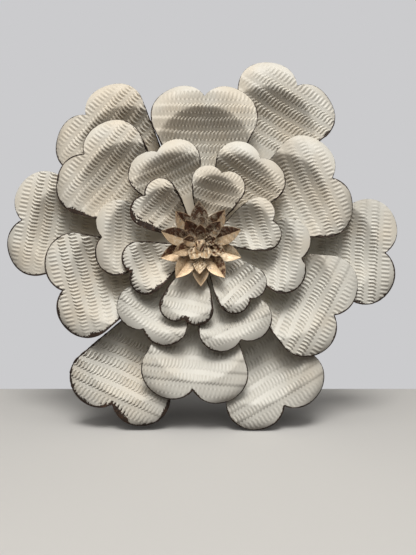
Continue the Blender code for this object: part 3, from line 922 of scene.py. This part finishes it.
@dataclass
class LotusStar:
    """Five folded leaves on one small disc."""

    name: str
    height: float
    leaves: tuple
    disc_radius: float = 0.0090
    disc_corners: int = 40
    disc_bevel: float = 0.0002
    disc_tone: float = 0.6
    root_radius: float = 0.0045
    widest: float = 0.57
    root_width: float = 0.38
    tip_width: float = 0.010
    tip_power: float = 0.95
    rise_power: float = 1.7
    cheek_bulge: float = 0.12
    closed_root: float = 1.0 / 6.0
    waves: int = 6
    wave_lengths: tuple = (0.006, 0.020)
    smooth_tip: int = 4
    deepest: float = 0.9
    highest: float = 0.6
    mean_tone: float = 0.46
    slope_tone: float = 0.62
    root_silver: float = 0.55
    hollow_tone: float = 0.55
    cells_across: int = 20
    cells_along: int = 36

    def leaf_width(self, share: Array) -> Array:
        """Width along a leaf.

        Args:
            share: Places along the leaf, from 0 at its root to 1 at its tip.

        Returns:
            Half width at each place, as a share of the widest.
        """
        swell = np.sin(np.clip(share / self.widest, 0.0, 1.0) * math.pi / 2)
        point = np.sin(np.clip((1.0 - share) / (1.0 - self.widest), 0.0, 1.0) * math.pi / 2)
        swollen = self.root_width + (1.0 - self.root_width) * swell
        width = np.where(share < self.widest, swollen, point ** self.tip_power)
        return np.maximum(self.tip_width, width)

    def crumples(self, leaf: Leaf, x: Array, radius: Array, seed: int) -> Array:
        """Crumples of a leaf: soft waves, or sharp folds where it is much crumpled.

        Args:
            leaf: Sizes of the leaf.
            x: Places across it.
            radius: Distances from the axis.
            seed: Seed of the random numbers.

        Returns:
            Height of the crumples at each place.
        """
        rng = np.random.default_rng(seed)
        waves = random_waves(rng, self.waves, self.wave_lengths, x, radius)
        if leaf.crumple > CREASE_LIMIT:
            waves = [1.0 - 4.0 / math.pi * np.arccos(np.abs(wave)) for wave in waves]
        return leaf.crumple * sum(waves) / 2.0

    def leaf(self, leaf: Leaf, seed: int) -> Piece:
        """Shape one leaf from a flat strip.

        Args:
            leaf: Sizes of the leaf.
            seed: Seed of its small crumples.

        Returns:
            The leaf, with its root on the axis and its tip along its own angle.
        """
        strip = new_shape(f"{self.name}_leaf", bpy.ops.mesh.primitive_grid_add, size=2.0,
                          x_subdivisions=self.cells_across, y_subdivisions=self.cells_along)
        flat = read_points(strip.data)
        across, share = flat[:, 0], (flat[:, 1] + 1.0) / 2.0
        width = self.leaf_width(share)
        x = leaf.half_width * width * across
        length = leaf.reach - self.root_radius
        radius = self.root_radius + length * share
        opened = np.clip(share / self.closed_root, 0.0, 1.0)
        cheek = np.abs(across) + self.cheek_bulge * np.sin(math.pi * np.abs(across))
        crumple = self.crumples(leaf, x, radius, seed) * opened * (1.0 - share ** self.smooth_tip)
        hollow = np.zeros(len(across))
        if leaf.crumple > CREASE_LIMIT:
            hollow = np.clip(-crumple / CREASE_LIMIT, -self.highest, self.deepest)
        height = leaf.rise * share ** self.rise_power + leaf.fold * cheek * width * opened + crumple
        write_points(strip.data, np.stack((x, -height, radius), axis=1))
        turn = math.radians(leaf.angle)
        fold_slope = leaf.fold / leaf.half_width * np.sign(across)
        rise_slope = self.rise_power * leaf.rise / length * share ** (self.rise_power - 1.0)
        # Sides that face down are made browner: painted shade.
        upward = fold_slope * math.cos(turn) - rise_slope * math.sin(turn)
        tone = self.mean_tone - self.slope_tone * upward - leaf.lighter + self.hollow_tone * hollow
        silver = leaf.silver + self.root_silver * (1.0 - share) - self.hollow_tone * hollow
        rim = (1.0 - np.abs(across)) * width * leaf.half_width
        write_attributes(strip.data, tone=tone, base=silver, rim=rim)
        strip.data.flip_normals()
        apply_modifier(strip, "SOLIDIFY", thickness=SHEET, offset=1.0)
        place(strip, Matrix.Rotation(math.pi / 2 - turn, 4, "Y"))
        return strip

    def build(self, axis_height: float, node: str, gold: Finish) -> None:
        """Make the leaves and their disc, join them and put them in place.

        Args:
            axis_height: Place of the flower's axis along Z.
            node: Node that the star stands for.
            gold: Finish of the leaves.
        """
        parts = [self.leaf(leaf, seed) for seed, leaf in enumerate(self.leaves, start=len(self.name))]
        disc = new_shape(self.name, bpy.ops.mesh.primitive_cylinder_add, vertices=self.disc_corners,
                         radius=self.disc_radius, depth=SHEET, location=(0.0, -SHEET / 2, 0.0),
                         rotation=(math.pi / 2, 0.0, 0.0))
        apply_modifier(disc, "BEVEL", width=self.disc_bevel, segments=2)
        take_up(disc)
        bpy.ops.object.transform_apply(location=True, rotation=True, scale=True)
        write_attributes(disc.data, tone=self.disc_tone, base=self.disc_tone, rim=WITHIN)
        for part in parts:
            part.select_set(True)
        bpy.ops.object.join()
        place(disc, Matrix.Translation((0.0, -self.height, axis_height)))
        soften(disc, RIM_ANGLE)
        hand_in(disc, node, Slot.GOLD, gold)


@dataclass
class CrumpledBud:
    """Crumpled foil bud over the screw's head, the middle of the lotus, with a tail at its lower side."""

    radius: float = 0.0095
    base: float = 0.0679
    top: float = 0.0125
    creases: int = 26
    crease_depth: float = 0.0042
    crease_width: float = 0.30
    skirt: float = 0.25
    tail: float = 0.95
    tail_side: float = 0.3
    crease_push: float = 0.35
    top_push: float = 0.30
    crest_tone: float = 0.05
    hollow_tone: float = 0.95
    hollow_silver: float = 0.75
    sharp_angle: float = math.radians(28.0)
    seed: int = 7

    def build(self, axis_height: float, node: str, gold: Finish) -> None:
        """Crumple a ball of foil and seat it on the top star.

        Args:
            axis_height: Place of the flower's axis along Z.
            node: Node that the bud stands for.
            gold: Finish of the bud.
        """
        bud = new_shape("crumpled_bud", bpy.ops.mesh.primitive_ico_sphere_add, subdivisions=5, radius=1.0)
        rng = np.random.default_rng(self.seed)
        ball = read_points(bud.data)
        seeds = rng.normal(size=(self.creases, 3))
        seeds /= np.linalg.norm(seeds, axis=1)[:, None]
        facet_push = rng.uniform(0.0, 1.0, self.creases)
        distances = np.linalg.norm(ball[:, None, :] - seeds[None], axis=2)
        order = np.argsort(distances, axis=1)
        near = np.take_along_axis(distances, order[:, :2], axis=1)
        ridge = np.clip((near[:, 1] - near[:, 0]) / self.crease_width, 0.0, 1.0)
        push = facet_push[order[:, 0]] * ridge + (1.0 - ridge) * self.crease_push
        swell = 1.0 - self.crease_depth / self.radius * push
        across = ball * swell[:, None] * self.radius
        climb = (np.clip(-ball[:, 1], -self.skirt, 1.0) + self.skirt) / (1.0 + self.skirt)
        across[:, 1] = -climb * self.top * (1.0 - self.top_push * push)
        below = np.maximum(0.0, -across[:, 2])
        across[:, 2] -= self.tail * below
        across[:, 0] -= self.tail_side * below
        write_points(bud.data, across)
        write_attributes(bud.data, tone=self.crest_tone + self.hollow_tone * push,
                         base=1.0 - self.hollow_silver * push, rim=WITHIN)
        place(bud, Matrix.Translation((0.0, -self.base, axis_height)))
        soften(bud, self.sharp_angle)
        hand_in(bud, node, Slot.GOLD, gold)


def dress(names: list, finish: Finish) -> None:
    """Give a new finish to nodes that keep their own shape."""
    for name in names:
        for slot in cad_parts[name].material_slots:
            slot.material = finish
        LOGGER.info("%s: finish %s", name, finish.name)


@dataclass
class Studio:
    """Camera in front of the flower, two lamps above and before it, pale floor and background."""

    frame_size: tuple = (416.0, 555.0)
    axis_pixel: tuple = (200.5, 244.0)
    focal_pixels: float = 620.0
    sensor: float = 36.0
    camera_distance: float = 0.9946
    floor_gap: float = 0.001
    floor_back: float = 0.24
    floor_front: float = -3.0
    floor_width: float = 5.0
    background: tuple = shade(203, 203, 205)
    floor_colour: tuple = shade(205, 203, 200)
    floor_cloud: tuple = shade(190, 188, 186)
    cloud_noise: tuple = (3.0, 2.0)
    cloud_span: tuple = (0.3, 0.7, 0.0, 0.06)
    floor_roughness: float = 0.8
    floor_bounce: tuple = shade(54, 45, 38)
    ambient: tuple = (0.024, 0.022, 0.019, 1.0)
    lamp_colour: tuple = (1.0, 0.985, 0.955)
    lamp_place: tuple = (0.0, -2.62, 3.12)
    lamp_aim: tuple = (0.0, -0.03, -0.05)
    key_power: float = 126.0
    key_size: float = 1.5
    fill_power: float = 115.0
    fill_size: float = 5.0

    def camera(self, axis_height: float) -> None:
        """Stand the camera on the flower's axis, with the frame shifted as the photograph's is."""
        data = bpy.data.cameras.new("camera")
        data.sensor_width = self.sensor
        long_side = max(self.frame_size)
        data.lens = self.focal_pixels / long_side * self.sensor
        data.shift_x = (self.frame_size[0] / 2 - self.axis_pixel[0]) / long_side
        data.shift_y = -(self.frame_size[1] / 2 - self.axis_pixel[1]) / long_side
        camera = bpy.data.objects.new("camera", data)
        bpy.context.collection.objects.link(camera)
        camera.location = (0.0, -self.camera_distance, axis_height)
        camera.rotation_euler = (math.pi / 2, 0.0, 0.0)
        bpy.context.scene.camera = camera

    def lamp(self, name: str, size: float, power: float) -> None:
        """Hang one round area lamp that faces the flower.

        Args:
            name: Name of the lamp.
            size: Its diameter in metres.
            power: Its power in watts.
        """
        data = bpy.data.lights.new(name, "AREA")
        data.shape = "DISK"
        data.size = size
        data.energy = power
        data.color = self.lamp_colour
        lamp = bpy.data.objects.new(name, data)
        bpy.context.collection.objects.link(lamp)
        lamp.location = self.lamp_place
        aim = Vector(self.lamp_aim) - Vector(self.lamp_place)
        lamp.rotation_euler = aim.to_track_quat("-Z", "Y").to_euler()

    def world(self) -> None:
        """Pale background for the camera and for reflections, and a weaker even light."""
        world = bpy.data.worlds.new("studio")
        bpy.context.scene.world = world
        world.use_nodes = True
        world.node_tree.nodes.clear()
        layout = NodeLayout(world.node_tree)
        glow = layout.add("ShaderNodeBackground")
        layout.feed(glow.inputs["Color"], layout.blend(layout.seen(), self.ambient, self.background))
        layout.feed(layout.add("ShaderNodeOutputWorld").inputs["Surface"], glow.outputs[0])

    def floor(self, lowest: float) -> None:
        """Lay the pale floor just under the flower; the light that it throws back is weak."""
        floor = new_shape("floor", bpy.ops.mesh.primitive_plane_add, size=1.0)
        points = read_points(floor.data)
        points[:, 0] *= self.floor_width
        points[:, 1] = np.where(points[:, 1] > 0.0, self.floor_back, self.floor_front)
        points[:, 2] = lowest - self.floor_gap
        write_points(floor.data, points)
        sheet = NodeSheet("plain_floor")
        clouds = sheet.span(sheet.noise(*self.cloud_noise), *self.cloud_span)
        pale = sheet.blend(clouds, self.floor_colour, self.floor_cloud)
        sheet.feed(sheet.inputs["Base Color"], sheet.blend(sheet.seen(), self.floor_bounce, pale))
        sheet.inputs["Roughness"].default_value = self.floor_roughness
        floor.data.materials.append(sheet.material)
        floor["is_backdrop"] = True

    def build(self, axis_height: float, lowest: float) -> None:
        """Set up camera, light, world and floor.

        Args:
            axis_height: Place of the flower's axis along Z.
            lowest: Lowest place of the flower, along Z.
        """
        self.camera(axis_height)
        self.lamp("key", self.key_size, self.key_power)
        self.lamp("fill", self.fill_size, self.fill_power)
        self.world()
        self.floor(lowest)
        bpy.context.scene.view_settings.view_transform = "Standard"


LARGE_BLANK = HeartBlank(lobe_radius=0.0453, lobe_offset=0.0357, length=0.2130, cell_width=0.00105)
SECOND_BLANK = HeartBlank(lobe_radius=0.0336, lobe_offset=0.0232, length=0.1390, cell_width=0.00095)
INNER_BLANK = HeartBlank(
    lobe_radius=0.0239,
    lobe_offset=0.0170,
    length=0.1010,
    cell_width=0.00085,
    shoulders=((0.0315, -0.0300),),
)

OUTER_PRESS = PetalPress(
    lean=math.radians(2.2),
    cup_depth=0.0300,
    wall_angle=math.radians(37.0),
    ridge_round=0.0030,
    ridge_radius=0.0780,
    lip_drop=0.0056,
    lip_curl=4.6,
    lip_width=0.0305,
    band_pitch=0.0186,
    band_depth=0.0011,
    band_start=0.0166,
    banded_length=0.1200,
)
THIRD_PRESS = replace(OUTER_PRESS, lean=math.radians(5.6))
SECOND_PRESS = PetalPress(
    lean=math.radians(2.3),
    cup_depth=0.0360,
    wall_angle=math.radians(43.5),
    ridge_round=0.0050,
    ridge_radius=0.0710,
    lip_drop=0.0058,
    lip_curl=2.0,
    lip_width=0.0144,
    band_pitch=0.0142,
    band_depth=0.0009,
    band_start=0.0188,
    banded_length=0.0850,
)
INNER_PRESS = replace(
    SECOND_PRESS,
    cup_depth=0.0340,
    ridge_round=0.0035,
    ridge_radius=0.0418,
    lip_drop=0.0030,
    lip_width=0.0099,
    band_pitch=0.0165,
    band_start=0.0070,
)

LARGE_RIBS = RibRows(
    pitches=(0.0063, 0.0055, 0.0053, 0.0058, 0.0056, 0.0052, 0.0054),
    slants=(2, -1, 1, -1, 2, -2, 2),
    depth=0.00095,
    half_row=0.0055,
    row_end=0.0007,
    line_gap=0.0021,
    weak_side=0.12,
)
SECOND_RIBS = RibRows(
    pitches=(0.0056, 0.0052, 0.0050, 0.0055, 0.0053),
    slants=(2, -4, 3, -4, 2),
    depth=0.00074,
    half_row=0.0043,
    row_end=0.0006,
    line_gap=0.0018,
    weak_side=0.70,
)
INNER_RIBS = replace(
    SECOND_RIBS,
    pitches=(0.0053, 0.0049, 0.0053, 0.0050, 0.0052),
    slants=(3, -4, 3, -4, 3),
    half_row=0.0045,
    weak_side=0.80,
)

OUTER_SETTINGS = (
    PetalSetting(58.7, -0.9, 0.000, 0.0010, 6, 1.25, lip=0.9),
    PetalSetting(131.1, 5.5, -0.019, 0.0023, -5, 1.05),
    PetalSetting(172.7, -3.0, -0.007, 0.0031, -1, 1.15, lip=0.6),
    PetalSetting(240.7, 4.5, -0.003, 0.0004, 4, 1.35, Wear.HEAVY, 0.4),
    PetalSetting(297.1, 3.2, -0.004, 0.0042, 1, 0.80, lip=0.5),
    PetalSetting(357.3, 0.0, 0.000, 0.0018, 1, 1.05, lip=0.4),
)
THIRD_SETTINGS = (
    PetalSetting(26.9, -1.9, -0.0015, 0.0005, 1, 0.90),
    PetalSetting(88.3, 0.8, -0.0006, 0.0037, 6, 1.15),
    PetalSetting(142.6, -1.8, -0.0020, 0.0021, -3, 1.00, Wear.HEAVY),
    PetalSetting(199.0, -3.2, -0.0034, 0.0029, 2, 1.32, Wear.HEAVY, 0.5),
    PetalSetting(267.4, -2.9, -0.0023, 0.0013, 0, 0.85, lip=0.5),
    PetalSetting(331.9, 0.3, 0.0048, 0.0044, 0, 1.10, lip=0.4),
)
SECOND_SETTINGS = (
    PetalSetting(55.0, 0.0, 0.0030, 0.0008, 10, 1.30),
    PetalSetting(115.3, -0.6, -0.0016, 0.0026, -9, 1.05),
    PetalSetting(175.6, 1.9, -0.0044, 0.0017, 1, 0.90, lip=0.8),
    PetalSetting(235.9, 1.4, 0.0005, 0.0033, 10, 1.05, lip=0.6),
    PetalSetting(293.4, -2.4, 0.0020, 0.0002, -7, 1.12, lip=0.5),
    PetalSetting(352.1, -0.9, 0.0005, 0.0039, 1, 1.05, lip=0.6),
)
INNER_SETTINGS = (
    PetalSetting(18.0, 0.3, 0.0019, 0.0011, 8, 1.15),
    PetalSetting(73.1, 1.0, -0.0020, 0.0030, 10, 1.10),
    PetalSetting(138.6, 0.4, -0.0006, 0.0024, -12, 1.10, Wear.HEAVY),
    PetalSetting(202.4, -1.0, 0.0004, 0.0006, 0, 1.20, Wear.HEAVY),
    PetalSetting(257.4, 1.2, 0.0022, 0.0035, 6, 0.90, Wear.HEAVY, 0.7),
    PetalSetting(312.2, 0.6, -0.0012, 0.0015, 0, 1.50),
)

ROWS = (
    PetalRow("outer", LARGE_BLANK, OUTER_PRESS, LARGE_RIBS, 0.0875, 0.0115, OUTER_SETTINGS),
    PetalRow("third", LARGE_BLANK, THIRD_PRESS, LARGE_RIBS, 0.0271, 0.0201, THIRD_SETTINGS),
    PetalRow("second", SECOND_BLANK, SECOND_PRESS, SECOND_RIBS, 0.0236, 0.0287, SECOND_SETTINGS),
    PetalRow("inner", INNER_BLANK, INNER_PRESS, INNER_RIBS, 0.0178, 0.0373, INNER_SETTINGS),
)

BACK_LEAVES = (
    Leaf(54.5, 0.0622, 0.0132, 0.0170, 0.0064, silver=0.50, lighter=0.05),
    Leaf(126.7, 0.0612, 0.0134, 0.0170, 0.0064, silver=0.50, lighter=0.05),
    Leaf(199.0, 0.0628, 0.0130, 0.0170, 0.0066),
    Leaf(270.5, 0.0628, 0.0128, 0.0170, 0.0060, silver=0.45, lighter=0.20),
    Leaf(341.7, 0.0635, 0.0134, 0.0170, 0.0064, silver=0.75, lighter=0.35),
)
FRONT_LEAVES = (
    Leaf(92.5, 0.0630, 0.0134, 0.0230, 0.0050, silver=0.60, lighter=-0.05),
    Leaf(162.0, 0.0606, 0.0132, 0.0230, 0.0066, silver=0.45),
    Leaf(234.0, 0.0616, 0.0134, 0.0230, 0.0064, silver=0.35),
    Leaf(306.0, 0.0612, 0.0134, 0.0230, 0.0064, lighter=-0.20),
    Leaf(19.6, 0.0628, 0.0134, 0.0230, 0.0066, silver=0.45),
)
MIDDLE_LEAVES = (
    Leaf(48.5, 0.0445, 0.0104, 0.0220, 0.0050, 0.0005, 0.5),
    Leaf(122.0, 0.0415, 0.0102, 0.0220, 0.0050, 0.0005, 0.4),
    Leaf(198.0, 0.0418, 0.0100, 0.0220, 0.0050, 0.0005),
    Leaf(268.0, 0.0440, 0.0102, 0.0210, 0.0044, 0.0012, 0.7, 0.10),
    Leaf(340.0, 0.0380, 0.0100, 0.0220, 0.0048, 0.0012, 0.5, -0.15),
)
TOP_LEAVES = (
    Leaf(90.5, 0.0285, 0.0084, 0.0210, 0.0036, 0.0007, 0.4, -0.10),
    Leaf(165.0, 0.0262, 0.0080, 0.0190, 0.0042, 0.0006, 0.4, -0.10),
    Leaf(236.0, 0.0262, 0.0092, 0.0170, 0.0040, 0.0019, 0.8, 0.10),
    Leaf(300.0, 0.0240, 0.0092, 0.0180, 0.0042, 0.0019, 0.8, 0.10),
    Leaf(21.0, 0.0240, 0.0078, 0.0190, 0.0044, 0.0012, 0.5, -0.15),
)

STARS = (
    (LotusStar("lotus_back_leaves", 0.0542, BACK_LEAVES), "lotus_back_star"),
    (LotusStar("lotus_front_leaves", 0.0584, FRONT_LEAVES), "lotus_front_star"),
    (LotusStar("lotus_middle_leaves", 0.0626, MIDDLE_LEAVES), "lotus_middle_star"),
    (LotusStar("lotus_top_leaves", 0.0668, TOP_LEAVES), "lotus_top_star"),
)

FASTENING = ["centre_screw", "rear_washer", "rear_nut", "keyhole_hanger"]
COLLARS = [f"lotus_collar_{number}" for number in (1, 2, 3)]


def main() -> None:
    """Make, dress and light the flower."""
    logging.basicConfig(level=logging.INFO, format="%(name)s %(message)s")
    cad_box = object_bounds()
    low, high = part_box("centre_screw")
    axis_height = (low.z + high.z) / 2
    paint = ChippedPaint().make()
    edge = ChippedPaint(name="worn_cut_edge", edge_wear=0.0045).make()
    gold = AgedGold().make()
    primer = PrimedSteel().make()
    steel = ZincPlate().make()
    for row in ROWS:
        row.build(axis_height, paint, edge)
    for star, node in STARS:
        star.build(axis_height, node, gold)
    CrumpledBud().build(axis_height, "lotus_bud", gold)
    dress([f"{row.name}_plate" for row in ROWS], primer)
    dress([f"{row.name}_spacer" for row in ROWS], steel)
    dress(FASTENING, steel)
    dress(COLLARS, gold)
    Studio().build(axis_height, cad_box[0].z)


if __name__ == "__main__":
    main()
